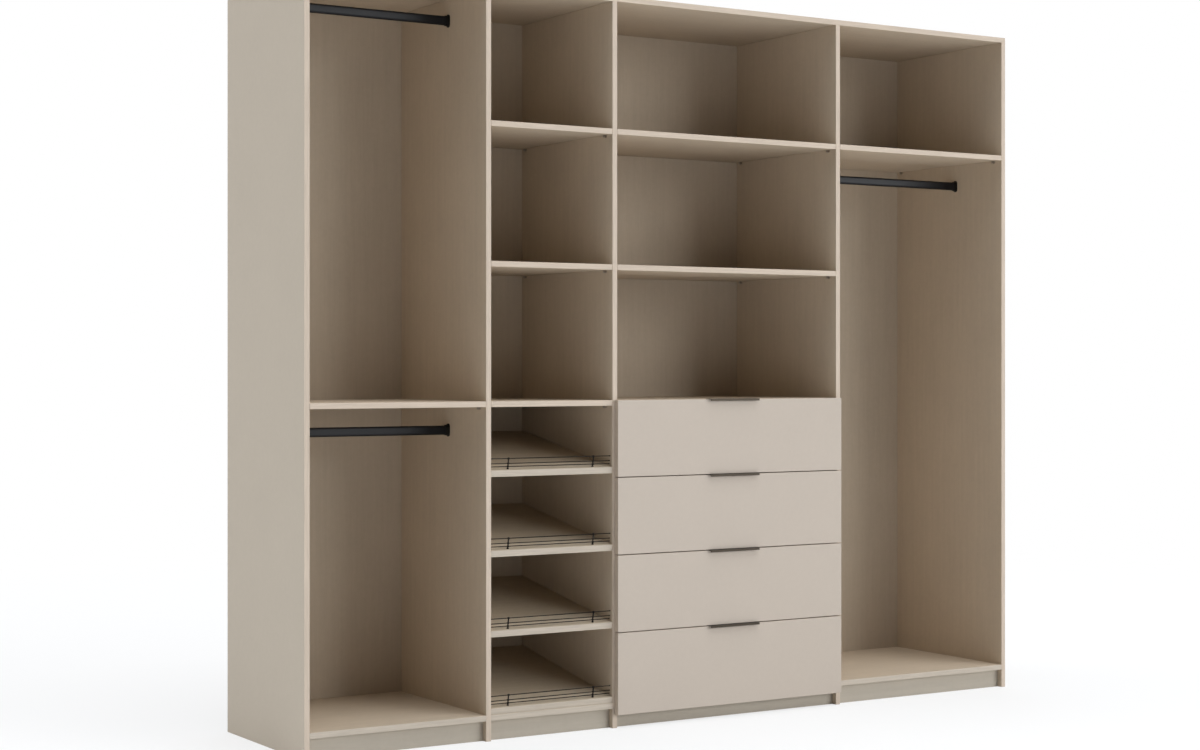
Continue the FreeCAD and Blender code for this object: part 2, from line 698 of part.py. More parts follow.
def edge_pull(number):
    """A bent strip on the front's top edge, with a lip that hangs down before the front."""
    body = doc.addObject("PartDesign::Body", f"drawer_handle_{number}")
    sketch = new_sketch(body, f"handle_{number}_section", "YZ_Plane")
    rear = SIZES["front_thickness"]
    sheet = SIZES["handle_sheet"]
    reach = SIZES["handle_reach"]
    lip = SIZES["handle_lip"]
    corners = (
        (rear, 0), (rear, sheet), (-reach, sheet), (-reach, -lip), (sheet - reach, -lip), (sheet - reach, 0)
    )
    for start, end in zip(corners, corners[1:] + corners[:1]):
        sketch.addGeometry(Part.LineSegment(FreeCAD.Vector(*start, 0), FreeCAD.Vector(*end, 0)))
    for side in range(6):
        sketch.addConstraint(Sketcher.Constraint("Coincident", side, 2, (side + 1) % 6, 1))
        sketch.addConstraint(Sketcher.Constraint("Horizontal" if side % 2 else "Vertical", side))
    sketch.addConstraint(Sketcher.Constraint("PointOnObject", 5, 2, -1))
    measured = (
        ("rear", Sketcher.Constraint("DistanceX", -1, 1, 0, 2, rear), "sizes.front_thickness"),
        ("sheet", Sketcher.Constraint("DistanceY", -1, 1, 0, 2, sheet), "sizes.handle_sheet"),
        ("reach", Sketcher.Constraint("DistanceX", 2, 2, -1, 1, reach), "sizes.handle_reach"),
        ("lip", Sketcher.Constraint("DistanceY", 2, 2, -1, 1, lip), "sizes.handle_lip"),
        ("lip_sheet", Sketcher.Constraint("DistanceX", 3, 1, 3, 2, sheet), "sizes.handle_sheet"),
    )
    for name, constraint, formula in measured:
        sketch.renameConstraint(sketch.addConstraint(constraint), name)
        sketch.setExpression(f"Constraints.{name}", formula)
    pad(body, f"handle_{number}_strip", sketch, "sizes.handle_length")
    middle_x = "(places.drawer_left + places.drawer_right - sizes.handle_length) / 2"
    place(body, (middle_x, "places.front_face_y", f"places.drawer_{number}_top"))
    return body


# Drawers, counted from the top.
for number in DRAWERS:
    foot = f"places.drawer_{number}_foot"
    keep(block(
        f"drawer_front_{number}",
        ("places.front_width", "sizes.front_thickness", f"places.drawer_{number}_top - {foot}"),
        ("places.drawer_left - sizes.front_overlap", "places.front_face_y", foot),
    ))
    keep(edge_pull(number))
    keep(drawer_box(number))
    keep(group(f"drawer_runners_{number}", slide_channels[number]))

doc.recompute()

# Nothing is written unless every object is sound.
for obj in doc.Objects:
    if "Invalid" in obj.State or "Error" in obj.State:
        raise RuntimeError(f"{obj.Name} failed: {obj.State}")
for obj in nodes:
    if obj.Shape.isNull() or not obj.Shape.isValid() or not obj.Shape.Solids:
        raise RuntimeError(f"{obj.Label} has no sound solid")

os.makedirs("parts", exist_ok=True)
for obj in nodes:
    obj.Shape.exportStep(f"parts/{obj.Label}.step")
    print(f"{obj.Label}: {len(obj.Shape.Solids)} solids, {obj.Shape.Volume / 1000:.1f} cm3")
box = Part.makeCompound([obj.Shape for obj in nodes]).BoundBox
print(f"{len(nodes)} nodes; size {box.XLength:.1f} x {box.YLength:.1f} x {box.ZLength:.1f} mm")
print(f"corner {box.XMin:.2f} {box.YMin:.2f} {box.ZMin:.2f}")
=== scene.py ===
# %% [markdown]
# An open closet system, dressed for a studio picture.
# The construction is already made: every board, rail, wire, pin and runner comes from the packed
# model, at its real size and in its real place. What is left for Blender is the looks: the finish
# of each surface, softened edges, the small fittings that hold the pieces together, and the light.
# All lengths are metres, with +X to the right, +Y to the back and +Z up.

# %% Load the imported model
import math

import bmesh
import bpy
from mathutils import Matrix, Vector


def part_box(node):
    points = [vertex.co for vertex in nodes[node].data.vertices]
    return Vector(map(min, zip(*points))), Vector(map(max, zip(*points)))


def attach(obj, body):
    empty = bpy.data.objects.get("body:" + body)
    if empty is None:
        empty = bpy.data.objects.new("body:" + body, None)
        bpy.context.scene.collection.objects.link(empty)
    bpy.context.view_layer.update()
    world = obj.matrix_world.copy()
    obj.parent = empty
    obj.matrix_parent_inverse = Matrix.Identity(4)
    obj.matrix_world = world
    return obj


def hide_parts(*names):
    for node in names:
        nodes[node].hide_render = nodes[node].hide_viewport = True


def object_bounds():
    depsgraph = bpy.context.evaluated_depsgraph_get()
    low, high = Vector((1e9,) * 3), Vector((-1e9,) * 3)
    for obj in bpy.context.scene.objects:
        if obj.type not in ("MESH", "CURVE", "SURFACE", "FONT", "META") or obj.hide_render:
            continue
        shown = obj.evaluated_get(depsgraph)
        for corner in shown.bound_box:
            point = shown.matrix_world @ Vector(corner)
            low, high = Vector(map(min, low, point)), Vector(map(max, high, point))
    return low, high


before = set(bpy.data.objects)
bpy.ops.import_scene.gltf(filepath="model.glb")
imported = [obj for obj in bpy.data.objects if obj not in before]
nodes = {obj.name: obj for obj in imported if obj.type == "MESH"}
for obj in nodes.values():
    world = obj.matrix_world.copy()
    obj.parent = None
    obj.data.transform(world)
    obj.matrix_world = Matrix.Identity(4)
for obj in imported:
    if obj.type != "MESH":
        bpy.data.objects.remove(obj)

scene = bpy.context.scene
cad_box = [list(corner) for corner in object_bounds()]

# %% [markdown]
# The camera stands where the photographer's stood: to the left of the closet, a little below half
# its height, and level, so that all uprights stay parallel. A level camera that still shows more
# of the lower part needs a shifted lens, not a tilt, because a tilt would make the uprights lean.

# %% Camera
CAMERA_PLACE = Vector((-4.00336, -6.13573, 1.17827))
CAMERA_TURN_DEGREES = -31.93
PICTURE_WIDTH_PIXELS = 1200
FOCAL_PIXELS = 2131.06
HORIZON_RISE_PIXELS = 9.44

camera_data = bpy.data.cameras.new("closet_camera")
camera_data.sensor_width = 36.0
camera_data.lens = camera_data.sensor_width * FOCAL_PIXELS / PICTURE_WIDTH_PIXELS
camera_data.shift_y = -HORIZON_RISE_PIXELS / PICTURE_WIDTH_PIXELS
camera = bpy.data.objects.new("closet_camera", camera_data)
camera.location = CAMERA_PLACE
camera.rotation_euler = (math.radians(90), 0, math.radians(CAMERA_TURN_DEGREES))
scene.collection.objects.link(camera)
scene.camera = camera
scene.view_settings.view_transform = "Standard"
print("lens", round(camera_data.lens, 2), "mm")

# %% [markdown]
# A finish is a small network of shader nodes. A few helpers keep each network readable: one starts
# a material, one adds a node with its settings, and the others stand for one step of the network.
# Every finish is worked out from the place of a point on its piece and from the way the surface
# faces there, so no picture files are needed and the finish stays on the piece when it moves.

# %% Helpers that start a finish


def new_finish(name):
    """An empty material with its node tree and its shader."""
    material = bpy.data.materials.new(name)
    material.use_nodes = True
    tree = material.node_tree
    return material, tree, tree.nodes["Principled BSDF"]


def add_node(tree, kind, inputs=None, **settings):
    """A node with its settings; an input is a plain value or another node's output."""
    node = tree.nodes.new(kind)
    for name, value in settings.items():
        setattr(node, name, value)
    for name, value in (inputs or {}).items():
        if isinstance(value, bpy.types.NodeSocket):
            tree.links.new(value, node.inputs[name])
        else:
            node.inputs[name].default_value = value
    return node


def place_on(tree):
    """The place of a point on its piece."""
    return tree.nodes.new("ShaderNodeTexCoord").outputs["Object"]


def in_parts(tree, vector):
    """The X, Y and Z of a vector."""
    return add_node(tree, "ShaderNodeSeparateXYZ", {"Vector": vector}).outputs


def facing_of(tree):
    """The way the surface faces, as X, Y and Z."""
    return in_parts(tree, tree.nodes.new("ShaderNodeTexCoord").outputs["Normal"])


print("a finish starts from a material, a place and a facing")

# %% [markdown]
# The next helpers are the steps that nearly all finishes share: noise drawn out along an axis,
# a sum of noises, a colour that wavers between two tones, one colour laid over another where a mask
# says so, a roughness and a bump. Noise from a Noise Texture node lies about 0.5, so the tones and
# the roughness turn there.

# %% Helpers for the steps of a finish
FINE_RELIEF = 0.0001


def calc(tree, operation, *values):
    """The result of one sum on plain numbers or sockets."""
    return add_node(tree, "ShaderNodeMath", dict(enumerate(values)), operation=operation).outputs["Value"]


def grain(tree, place, stretch, scale, detail=3.0):
    """Soft noise, drawn out along the axes where stretch is small."""
    mapped = add_node(tree, "ShaderNodeMapping", {"Vector": place, "Scale": stretch})
    inputs = {"Vector": mapped.outputs["Vector"], "Scale": scale, "Detail": detail}
    return add_node(tree, "ShaderNodeTexNoise", inputs).outputs["Fac"]


def weighed(tree, *parts):
    """A sum of sockets, each times its share."""
    total = 0.0
    for socket, share in parts:
        total = calc(tree, "MULTIPLY_ADD", socket, share, total)
    return total


def shade(colour, factor):
    """A colour made lighter or darker."""
    return tuple(min(1.0, channel * factor) for channel in colour)


def tones(tree, amount, colour, contrast, reach=0.2):
    """A colour that gets darker where the amount is under 0.5, and lighter where it is over."""
    ramp = add_node(tree, "ShaderNodeValToRGB", {"Fac": amount})
    for element, side in zip(ramp.color_ramp.elements, (-1, 1)):
        element.position = 0.5 + side * reach
        element.color = (*shade(colour, 1 + side * contrast), 1.0)
    return ramp.outputs["Color"]


def layer(tree, mask, under, over):
    """One colour over another where the mask is 1."""
    return add_node(tree, "ShaderNodeMix", {0: mask, 6: under, 7: over}, data_type="RGBA").outputs[2]


def roughened(tree, shader, noise, roughness, spread):
    """Give the shader a roughness that wavers about a value."""
    wavering = calc(tree, "MULTIPLY_ADD", noise, spread, roughness - spread / 2)
    tree.links.new(wavering, shader.inputs["Roughness"])


def bumped(tree, shader, height, strength, distance=FINE_RELIEF):
    """Give the shader a bump from a height."""
    bump = add_node(tree, "ShaderNodeBump", {"Height": height, "Strength": strength, "Distance": distance})
    tree.links.new(bump.outputs["Normal"], shader.inputs["Normal"])


print("steps: noise, sums, tones, layers, roughness and bumps")

# %% [markdown]
# The boards are chipboard faced with greige melamine: paper soaked in resin, pressed on with a fine
# texture. From a step away it is one calm colour. Near to, it has faint streaks and fine fibres
# along the board, small flecks and a soft mottle. Where the saw went through, a thin plastic band
# covers the front edge, a shade lighter and pinker than the facing, and the rear edge stays raw.
# One function makes all of these boards. It tells the faces from the edges by the way the surface
# faces, which needs no unwrapping and no separate strips.

# %% Faced boards
UPRIGHT_RUN = (1.0, 1.0, 0.04)
LEVEL_RUN = (0.04, 1.0, 1.0)
EVEN_RUN = (1.0, 1.0, 1.0)
STREAKS_PER_METRE = 70.0
BAND_STREAKS_PER_METRE = 240.0
FIBRES_PER_METRE = 420.0
MOTTLES_PER_METRE = 6.0
FLECKS_PER_METRE = 60.0
CHIPS_PER_METRE = 420.0
CHIP_TAN = (0.43, 0.325, 0.205)
FACE_LIMIT = 0.5
MELAMINE_SHINE = 0.04


def melamine_face(tree, place, colour, run, contrast):
    """The printed facing, and its fibres for the bump."""
    streaks = grain(tree, place, run, STREAKS_PER_METRE)
    fibres = grain(tree, place, run, FIBRES_PER_METRE)
    mottle = grain(tree, place, EVEN_RUN, MOTTLES_PER_METRE, detail=4.0)
    flecks = grain(tree, place, EVEN_RUN, FLECKS_PER_METRE)
    mixed = weighed(tree, (streaks, 0.3), (fibres, 0.2), (mottle, 0.3), (flecks, 0.2))
    return tones(tree, mixed, colour, contrast), fibres


def chipboard(tree, place):
    """Raw chipboard, as the saw leaves it."""
    chips = add_node(tree, "ShaderNodeTexVoronoi", {"Vector": place, "Scale": CHIPS_PER_METRE})
    return tones(tree, chips.outputs["Color"], CHIP_TAN, contrast=0.35, reach=0.3)


def melamine_gloss(tree, shader, fibres):
    """A dull sheen that follows the fibres."""
    roughened(tree, shader, fibres, roughness=0.6, spread=0.16)
    shader.inputs["Specular IOR Level"].default_value = MELAMINE_SHINE
    bumped(tree, shader, fibres, strength=0.2)


def board_finish(name, face, edge, across, run, contrast=0.08, rear=chipboard):
    """A faced board; across is the axis of its thickness, so what faces another way is an edge."""
    material, tree, shader = new_finish(name)
    place = place_on(tree)
    facing = facing_of(tree)
    surface, fibres = melamine_face(tree, place, face, run, contrast)
    band = tones(tree, grain(tree, place, run, BAND_STREAKS_PER_METRE), edge, contrast=0.07)
    is_edge = calc(tree, "LESS_THAN", calc(tree, "ABSOLUTE", facing[across]), FACE_LIMIT)
    is_raw = calc(tree, "GREATER_THAN", facing["Y"], FACE_LIMIT)
    colour = layer(tree, is_raw, layer(tree, is_edge, surface, band), rear(tree, place))
    tree.links.new(colour, shader.inputs["Base Color"])
    melamine_gloss(tree, shader, fibres)
    return material


print("a faced board has a facing, a band and a raw edge")

# %% [markdown]
# A board with knife-sharp corners looks drawn, not made: a real edge is broken by the trimming
# cutter and catches a thin line of light. The Bevel modifier does the same. The model's meshes come
# with their corners split, so a Weld modifier closes them first. A Weighted Normal modifier comes
# last and lets the large faces decide the shading, so that they stay flat right up to the bevel.

# %% Softened edges
SHARP_ANGLE = math.radians(40)
SEAM = 0.00001


def soften(piece, width):
    """Round the sharp edges of a piece."""
    weld = piece.modifiers.new("closed_seams", "WELD")
    weld.merge_threshold = SEAM
    bevel = piece.modifiers.new("soft_edges", "BEVEL")
    bevel.width = width
    bevel.segments = 2
    bevel.limit_method = "ANGLE"
    bevel.angle_limit = SHARP_ANGLE
    bevel.use_clamp_overlap = False
    bevel.loop_slide = False
    flat = piece.modifiers.new("flat_faces", "WEIGHTED_NORMAL")
    flat.weight = 100
    flat.keep_sharp = True


def dress(finish, names, softness=None):
    """Put a finish on pieces of the model, and round their edges."""
    for name in names:
        piece = nodes[name]
        piece.data.materials.clear()
        piece.data.materials.append(finish)
        if softness:
            soften(piece, softness)
    print(finish.name, "on", len(names), "pieces")


def named(*words):
    """The names of the model's pieces that hold one of the words."""
    return [name for name in nodes if any(word in name for word in words)]


print("edges sharper than", round(math.degrees(SHARP_ANGLE)), "degrees can be rounded")

# %% [markdown]
# The inner boards come first: partitions, shelves, racks and bottoms. Their greige is painted a
# little warmer than the outer one, as painted shade for the warm light bounced inside the bays. The
# grain of an upright runs up, and the grain of a shelf runs along the bay. The racks and bottoms have
# a darker, greyer band, which is painted shade, and hardly any rounding, because the lowest rack and
# the bottom under it look like one thick edge.

# %% Inner boards
# Painted shade: the inner greige is warmer than the outer one, for the warm light bounced inside the bays.
INNER_SHADE_GREIGE = (0.541, 0.448, 0.343)
BAND_GREIGE = (0.548, 0.457, 0.369)
RACK_GREIGE = (0.49, 0.405, 0.302)
# Painted shade: the band of racks and bottoms is darker and greyer than the other bands.
SHADED_BAND_GREIGE = (0.50, 0.437, 0.362)
BOARD_SOFTNESS = 0.0008
RACK_SOFTNESS = 0.0003

upright_finish = board_finish("greige_upright", INNER_SHADE_GREIGE, BAND_GREIGE, "X", UPRIGHT_RUN)
shelf_finish = board_finish("greige_shelf", INNER_SHADE_GREIGE, BAND_GREIGE, "Z", LEVEL_RUN)
bottom_finish = board_finish("greige_bottom", INNER_SHADE_GREIGE, SHADED_BAND_GREIGE, "Z", LEVEL_RUN)
rack_finish = board_finish("greige_rack", RACK_GREIGE, SHADED_BAND_GREIGE, "Z", LEVEL_RUN, contrast=0.12)
dress(upright_finish, named("partition"), BOARD_SOFTNESS)
dress(shelf_finish, named("_shelf"), BOARD_SOFTNESS)
dress(bottom_finish, named("_bottom"), RACK_SOFTNESS)
dress(rack_finish, named("shoe_rack"), RACK_SOFTNESS)

# %% [markdown]
# The side panels and the top are the same board. Their outer faces see the light, and there a cooler,
# calmer greige is painted on as painted light, a lit copy of the inner colour. A point is on the outside
# when it lies as far out as the whole closet reaches. The finish starts as a copy of an inner one, and
# only the outside gets the new colour.

# %% Side panels and top
# Painted light: the outer faces get a cooler greige than the inner ones.
OUTSIDE_LIGHT_GREIGE = (0.50, 0.437, 0.358)
SKIN = 0.001


def lit_outside_finish(name, inner_finish, axis, reach):
    """An inner finish with a cooler tone, painted light, on the faces that lie at the reach along an axis.
    """
    material = inner_finish.copy()
    material.name = name
    tree = material.node_tree
    shader = tree.nodes["Principled BSDF"]
    place = place_on(tree)
    outside, _ = melamine_face(tree, place, OUTSIDE_LIGHT_GREIGE, EVEN_RUN, contrast=0.03)
    far_out = calc(tree, "ABSOLUTE", in_parts(tree, place)[axis])
    is_outside = calc(tree, "GREATER_THAN", far_out, reach - SKIN)
    is_face = calc(tree, "GREATER_THAN", calc(tree, "ABSOLUTE", facing_of(tree)[axis]), FACE_LIMIT)
    mask = calc(tree, "MULTIPLY", is_outside, is_face)
    inside = shader.inputs["Base Color"].links[0].from_socket
    tree.links.new(layer(tree, mask, inside, outside), shader.inputs["Base Color"])
    return material


side_finish = lit_outside_finish("greige_side", upright_finish, "X", cad_box[1][0])
top_finish = lit_outside_finish("greige_top", shelf_finish, "Z", cad_box[1][2])
dress(side_finish, named("side_panel"), BOARD_SOFTNESS)
dress(top_finish, named("top_panel"), BOARD_SOFTNESS)

# %% [markdown]
# The backs are thin fibreboard in grooves, faced on the inside only. Their rear is bare: an even,
# darker brown than chipboard, with a fine felted grain and none of the large chips. The plinths are
# faced boards in the shade below; their greige is painted a touch darker and greyer, as painted shade.

# %% Backs and plinths
BACK_GREIGE = (0.492, 0.408, 0.315)
FIBRE_BROWN = (0.27, 0.185, 0.115)
# Painted shade: the plinths are darker and greyer than the other boards.
SHADED_PLINTH_GREIGE = (0.44, 0.392, 0.325)


def fibreboard(tree, place):
    """The bare rear of a fibreboard."""
    felt = grain(tree, place, EVEN_RUN, FIBRES_PER_METRE)
    cloud = grain(tree, place, EVEN_RUN, MOTTLES_PER_METRE)
    return tones(tree, weighed(tree, (felt, 0.5), (cloud, 0.5)), FIBRE_BROWN, contrast=0.18)


back_finish = board_finish("greige_back", BACK_GREIGE, FIBRE_BROWN, "Y", UPRIGHT_RUN, rear=fibreboard)
plinth_finish = board_finish("greige_plinth", SHADED_PLINTH_GREIGE, BAND_GREIGE, "Y", LEVEL_RUN, contrast=0.07)
dress(back_finish, named("_back"))
dress(plinth_finish, named("_plinth"), BOARD_SOFTNESS)

# %% [markdown]
# The drawer fronts are what the eye meets first, so they are the calmest boards: the same greige
# with hardly any streak, faced on both sides and banded all round.

# %% Drawer fronts
FRONT_GREIGE = (0.494, 0.428, 0.364)
FRONT_SOFTNESS = 0.001


def front_finish(name):
    """A front faced on both sides, with a band on all four edges."""
    material, tree, shader = new_finish(name)
    place = place_on(tree)
    facing = facing_of(tree)
    surface, fibres = melamine_face(tree, place, FRONT_GREIGE, EVEN_RUN, contrast=0.025)
    band = tones(tree, grain(tree, place, EVEN_RUN, STREAKS_PER_METRE), BAND_GREIGE, contrast=0.04)
    is_edge = calc(tree, "LESS_THAN", calc(tree, "ABSOLUTE", facing["Y"]), FACE_LIMIT)
    tree.links.new(layer(tree, is_edge, surface, band), shader.inputs["Base Color"])
    melamine_gloss(tree, shader, fibres)
    return material


dress(front_finish("greige_front"), named("drawer_front"), FRONT_SOFTNESS)

# %% [markdown]
# The hanging rails are oval steel tubes with a charcoal powder coat, which has a faint orange peel.
# The sockets that hold their ends are moulded in black plastic with a matt, spark-eroded skin.

# %% Rails and sockets
RAIL_CHARCOAL = (0.009, 0.0092, 0.0105)
SOCKET_BLACK = (0.006, 0.0055, 0.005)
SOCKET_SOFTNESS = 0.0004
COAT_CLOUDS_PER_METRE = 25.0


def coated(name, colour, roughness, shine, peel_per_metre, peel_strength):
    """A coat with a fine peel and slightly uneven colour."""
    material, tree, shader = new_finish(name)
    place = place_on(tree)
    peel = grain(tree, place, EVEN_RUN, peel_per_metre, detail=2.0)
    cloud = grain(tree, place, EVEN_RUN, COAT_CLOUDS_PER_METRE)
    mixed = weighed(tree, (peel, 0.5), (cloud, 0.5))
    tree.links.new(tones(tree, mixed, colour, contrast=0.2), shader.inputs["Base Color"])
    roughened(tree, shader, cloud, roughness, spread=0.12)
    shader.inputs["Specular IOR Level"].default_value = shine
    bumped(tree, shader, peel, peel_strength)
    return material


rail_finish = coated(
    "charcoal_rail", RAIL_CHARCOAL, roughness=0.42, shine=0.2, peel_per_metre=700.0, peel_strength=0.12,
)
socket_finish = coated(
    "black_socket", SOCKET_BLACK, roughness=0.5, shine=0.2, peel_per_metre=1800.0, peel_strength=0.3,
)
dress(rail_finish, named("hanging_rail"))
dress(socket_finish, named("rail_sockets"), SOCKET_SOFTNESS)

# %% [markdown]
# The fences of the shoe racks are bent from dark bronze wire. The edge pulls are strips of
# aluminium, brushed along and anodised to the same brown. Metal needs its colour in the reflection,
# so Metallic is 1 there and the base colour is that of the reflected light.

# %% Wire and pulls
WIRE_BRONZE = (0.012, 0.010, 0.008)
PULL_BRONZE = (0.044, 0.036, 0.028)
PULL_SOFTNESS = 0.0005
BRUSHED_RUN = (0.01, 1.0, 1.0)
BRUSH_LINES_PER_METRE = 2600.0
BRUSHED_CLOUDS_PER_METRE = 40.0


def brushed(name, colour, roughness):
    """Metal brushed along X."""
    material, tree, shader = new_finish(name)
    place = place_on(tree)
    lines = grain(tree, place, BRUSHED_RUN, BRUSH_LINES_PER_METRE)
    cloud = grain(tree, place, EVEN_RUN, BRUSHED_CLOUDS_PER_METRE)
    mixed = weighed(tree, (lines, 0.6), (cloud, 0.4))
    tree.links.new(tones(tree, mixed, colour, contrast=0.2), shader.inputs["Base Color"])
    roughened(tree, shader, lines, roughness, spread=0.2)
    shader.inputs["Metallic"].default_value = 1.0
    bumped(tree, shader, lines, strength=0.15, distance=FINE_RELIEF / 2)
    return material


wire_finish = coated(
    "bronze_wire", WIRE_BRONZE, roughness=0.45, shine=0.1, peel_per_metre=1500.0, peel_strength=0.1,
)
pull_finish = brushed("bronze_pull", PULL_BRONZE, roughness=0.38)
dress(wire_finish, named("shoe_fence"))
dress(pull_finish, named("drawer_handle"), PULL_SOFTNESS)

# %% [markdown]
# The hidden hardware is plain: zinc-plated runners and screws with a cloudy blue-white skin, nickel
# shelf pins, and beech dowels whose grain runs along them.

# %% Runners, screws, pins and dowels
ZINC = (0.60, 0.61, 0.62)
NICKEL = (0.40, 0.365, 0.33)
BEECH = (0.56, 0.37, 0.22)
PIN_SOFTNESS = 0.0004
PLATE_CELLS_PER_METRE = 160.0
PLATE_CLOUDS_PER_METRE = 90.0
BEECH_RINGS_PER_METRE = 500.0


def plated(name, colour, roughness):
    """Plated metal with a cloudy skin."""
    material, tree, shader = new_finish(name)
    place = place_on(tree)
    cells = add_node(tree, "ShaderNodeTexVoronoi", {"Vector": place, "Scale": PLATE_CELLS_PER_METRE})
    cloud = grain(tree, place, EVEN_RUN, PLATE_CLOUDS_PER_METRE)
    skin = weighed(tree, (cells.outputs["Distance"], 0.35), (cloud, 0.65))
    tree.links.new(tones(tree, skin, colour, contrast=0.12), shader.inputs["Base Color"])
    roughened(tree, shader, cloud, roughness, spread=0.2)
    shader.inputs["Metallic"].default_value = 1.0
    bumped(tree, shader, cloud, strength=0.1, distance=FINE_RELIEF / 2)
    return material


def turned_beech(name):
    """Beech with its grain along X."""
    material, tree, shader = new_finish(name)
    place = place_on(tree)
    rings = grain(tree, place, LEVEL_RUN, BEECH_RINGS_PER_METRE)
    tree.links.new(tones(tree, rings, BEECH, contrast=0.2), shader.inputs["Base Color"])
    shader.inputs["Roughness"].default_value = 0.6
    bumped(tree, shader, rings, strength=0.3)
    return material


zinc_finish = plated("zinc_plate", ZINC, roughness=0.36)
pin_finish = plated("nickel_pin", NICKEL, roughness=0.32)
dress(zinc_finish, named("_runners", "_screws"))
dress(pin_finish, named("shelf_pins"), PIN_SOFTNESS)
dress(turned_beech("beech_dowel"), named("wood_dowels"))

# %% [markdown]
# Small fittings are round: they are turned on a lathe or rolled. One helper turns a profile of
# radii and heights about an axis, which gives full control of each shoulder. Another makes an
# object from the finished mesh, gives it a finish and lets it ride on a body of the model.

# %% Helpers for small fittings
ROUND_SIDES = 20


def turned(work, profile, matrix=Matrix()):
    """Add a round piece from radii and heights on its own Z axis, and give back its last ring."""
    rings = []
    for radius, height in profile:
        turns = [2 * math.pi * side / ROUND_SIDES for side in range(ROUND_SIDES)]
        points = [Vector((radius * math.cos(turn), radius * math.sin(turn), height)) for turn in turns]
        rings.append([work.verts.new(matrix @ point) for point in points])
    for lower, upper in zip(rings, rings[1:]):
        for side in range(ROUND_SIDES):
            work.faces.new((lower[side - 1], lower[side], upper[side], upper[side - 1]))
    work.faces.new(reversed(rings[0]))
    work.faces.new(rings[-1])
    return rings[-1]


def standing(place, axis):
    """The matrix that stands a piece at a place, with its Z axis along an axis."""
    return Matrix.Translation(place) @ Vector(axis).to_track_quat("Z", "Y").to_matrix().to_4x4()


def make_piece(work, name, finish, body):
    """An object from a mesh in work, riding on a body."""
    bmesh.ops.recalc_face_normals(work, faces=work.faces)
    mesh = bpy.data.meshes.new(name)
    work.to_mesh(mesh)
    work.free()
    mesh.materials.append(finish)
    mesh.shade_smooth()
    mesh.set_sharp_from_angle(angle=SHARP_ANGLE)
    piece = bpy.data.objects.new(name, mesh)
    scene.collection.objects.link(piece)
    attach(piece, body)
    return piece


print("round pieces have", ROUND_SIDES, "sides")

# %% [markdown]
# On a real fence the wires are welded to the posts, and each weld leaves a small swelling round the
# wire. The ends of the wires are rounded so that they don't scratch shoes. Welds and tips are turned
# about the wire. The fence leans with its rack, so heights go along the leaning post.

# %% Welds and wire tips
FENCE_NUMBERS = range(1, 5)
RACK_TILT = math.radians(10)
FOOT_RADIUS = 0.0038
POST_FROM_WIRE_END = 0.063
WIRE_RADIUS = 0.0015
WIRE_HEIGHTS = (0.0085, 0.0185, 0.0345)
WELD_PROFILE = ((0.0015, -0.0052), (0.0023, -0.0036), (0.0032, -0.0017), (0.0035, 0.0), (0.0032, 0.0017),
                (0.0023, 0.0036), (0.0015, 0.0052))
TIP_PROFILE = ((0.0015, -0.003), (0.0019, -0.0025), (0.0019, 0.0004), (0.0014, 0.0012), (0.0006, 0.0016))
up_the_post = Vector((0, -math.sin(RACK_TILT), math.cos(RACK_TILT)))


def weld_fence(number):
    """The welds and the tips of one fence."""
    low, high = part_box(f"shoe_fence_{number}")
    foot_y = high.y - FOOT_RADIUS * math.cos(RACK_TILT)
    foot_z = low.z + FOOT_RADIUS * math.sin(RACK_TILT)
    work = bmesh.new()
    for height in WIRE_HEIGHTS:
        wire = Vector((0, foot_y, foot_z)) + up_the_post * height
        for x in (low.x + POST_FROM_WIRE_END, high.x - POST_FROM_WIRE_END):
            turned(work, WELD_PROFILE, standing((x, wire.y, wire.z), (1, 0, 0)))
        for x, axis in ((low.x, (-1, 0, 0)), (high.x, (1, 0, 0))):
            turned(work, TIP_PROFILE, standing((x, wire.y, wire.z), axis))
    return make_piece(work, f"fence_welds_{number}", wire_finish, "carcass")


for number in FENCE_NUMBERS:
    print("welded", weld_fence(number).name)

# %% [markdown]
# A screw is recognised by its recess. The head is turned, its top face is taken out, and the ring
# that is left is filled up to a cross-shaped rim. The cross then goes down to a smaller floor, as
# the punch leaves it. One mesh of each size is made, and copies of it are stamped where they belong.

# %% Cross-recess screws
CROSS_ARM = 0.62
CROSS_SLOT = 0.14
CROSS_TAPER = 0.75
CROSS_DEPTH = 0.6
SHANK_POINT = 0.2
HEAD_SHOULDER = 0.3
HEAD_FACE = 0.86


